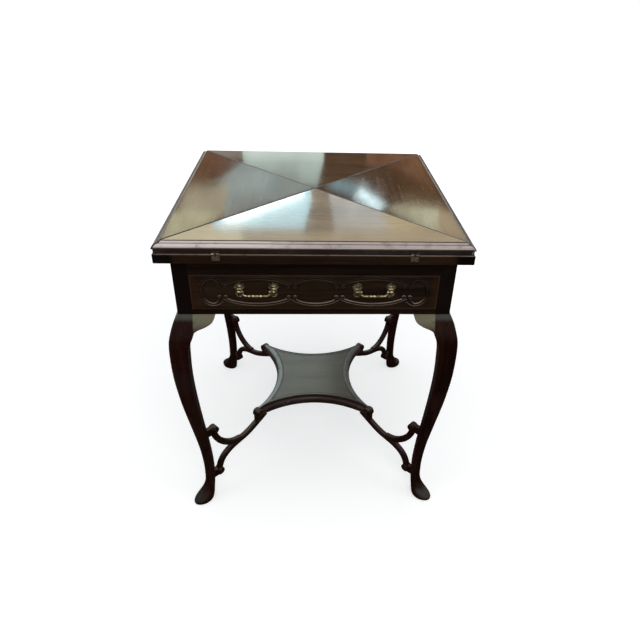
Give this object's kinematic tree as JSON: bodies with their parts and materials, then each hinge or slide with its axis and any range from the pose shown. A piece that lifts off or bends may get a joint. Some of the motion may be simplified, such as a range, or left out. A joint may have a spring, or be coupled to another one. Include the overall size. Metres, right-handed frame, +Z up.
{
  "type": "card table",
  "caption": "Square envelope card table: triangular flaps close over a swivelling baize slab, above a frieze drawer, cabriole legs and a scroll-held undertier.",
  "frame": {"origin": "centre of the outline on the floor, under the feet", "axes": "+Z up, -Y the way the drawer opens, +X to the right of someone who faces the drawer"},
  "size_m": [0.6154, 0.6154, 0.7305],
  "materials": {
    "mahogany_top": "french polished, worn",
    "mahogany_frame": "french polished, dark",
    "mahogany_drawer": "french polished, worn",
    "secondary_wood": "unpolished",
    "baize": "woven wool",
    "brass": "aged, satin",
    "steel": "dull"
  },
  "bodies": {
    "frame": {"leg_front_left": "mahogany_frame", "leg_front_right": "mahogany_frame", "leg_back_left": "mahogany_frame", "leg_back_right": "mahogany_frame", "knee_brackets_front_left": "mahogany_frame", "knee_brackets_front_right": "mahogany_frame", "knee_brackets_back_left": "mahogany_frame", "knee_brackets_back_right": "mahogany_frame", "stretcher_scroll_front_left": "mahogany_frame", "stretcher_scroll_front_right": "mahogany_frame", "stretcher_scroll_back_left": "mahogany_frame", "stretcher_scroll_back_right": "mahogany_frame", "stretcher_branches": "mahogany_frame", "stretcher_dowels": "secondary_wood", "platform_screws": "steel", "undertier_platform": "mahogany_frame", "back_rail": "mahogany_frame", "side_rail_left": "mahogany_frame", "side_rail_right": "mahogany_frame", "front_top_rail": "mahogany_frame", "front_bottom_rail": "mahogany_frame", "drawer_runners": "secondary_wood", "drawer_guides": "secondary_wood", "drawer_kickers": "secondary_wood", "drawer_stops": "secondary_wood", "corner_braces": "secondary_wood", "pivot_board": "secondary_wood", "pivot_bush": "brass"},
    "swivel_top": {"top_slab": "mahogany_top", "slab_baize": "baize", "slab_hinge_halves": "brass", "hinge_pins": "steel", "pivot_plate": "brass", "pivot_plate_screws": "steel", "pivot_bolt": "steel", "pivot_washer": "steel", "pivot_nut": "steel", "stop_peg": "steel"},
    "drawer": {"drawer_front": "mahogany_drawer", "drawer_side_left": "secondary_wood", "drawer_side_right": "secondary_wood", "drawer_back": "secondary_wood", "drawer_bottom": "secondary_wood", "handle_rosettes": "brass", "handle_posts": "brass", "handle_nuts": "steel"},
    "handle_left": {"bail_left": "brass"},
    "handle_right": {"bail_right": "brass"},
    "leaf_front": {"flap_front": "mahogany_top", "flap_baize_front": "baize", "flap_hinge_halves_front": "brass"},
    "leaf_right": {"flap_right": "mahogany_top", "flap_baize_right": "baize", "flap_hinge_halves_right": "brass"},
    "leaf_back": {"flap_back": "mahogany_top", "flap_baize_back": "baize", "flap_hinge_halves_back": "brass"},
    "leaf_left": {"flap_left": "mahogany_top", "flap_baize_left": "baize", "flap_hinge_halves_left": "brass"}
  },
  "joints": [
    {"name": "top_swivel", "type": "hinge", "parent": "frame", "child": "swivel_top", "pos_m": [0, 0, 0.6835], "axis": [0, 0, 1], "range_deg": [0, 45]},
    {"name": "drawer_slide", "type": "slide", "parent": "frame", "child": "drawer", "axis": [0, -1, 0], "range_m": [0, 0.3]},
    {"name": "leaf_front_hinge", "type": "hinge", "parent": "swivel_top", "child": "leaf_front", "pos_m": [0, -0.30515, 0.70865], "axis": [1, 0, 0], "range_deg": [0, 180]},
    {"name": "leaf_right_hinge", "type": "hinge", "parent": "swivel_top", "child": "leaf_right", "pos_m": [0.30515, 0, 0.70865], "axis": [0, 1, 0], "range_deg": [0, 180]},
    {"name": "leaf_back_hinge", "type": "hinge", "parent": "swivel_top", "child": "leaf_back", "pos_m": [0, 0.30515, 0.70865], "axis": [-1, 0, 0], "range_deg": [0, 180]},
    {"name": "leaf_left_hinge", "type": "hinge", "parent": "swivel_top", "child": "leaf_left", "pos_m": [-0.30515, 0, 0.70865], "axis": [0, -1, 0], "range_deg": [0, 180]},
    {"name": "bail_left_pivot", "type": "hinge", "parent": "drawer", "child": "handle_left", "pos_m": [-0.118, -0.288, 0.6185], "axis": [-1, 0, 0], "range_deg": [0, 95]},
    {"name": "bail_right_pivot", "type": "hinge", "parent": "drawer", "child": "handle_right", "pos_m": [0.118, -0.288, 0.6185], "axis": [-1, 0, 0], "range_deg": [0, 95]}
  ]
}
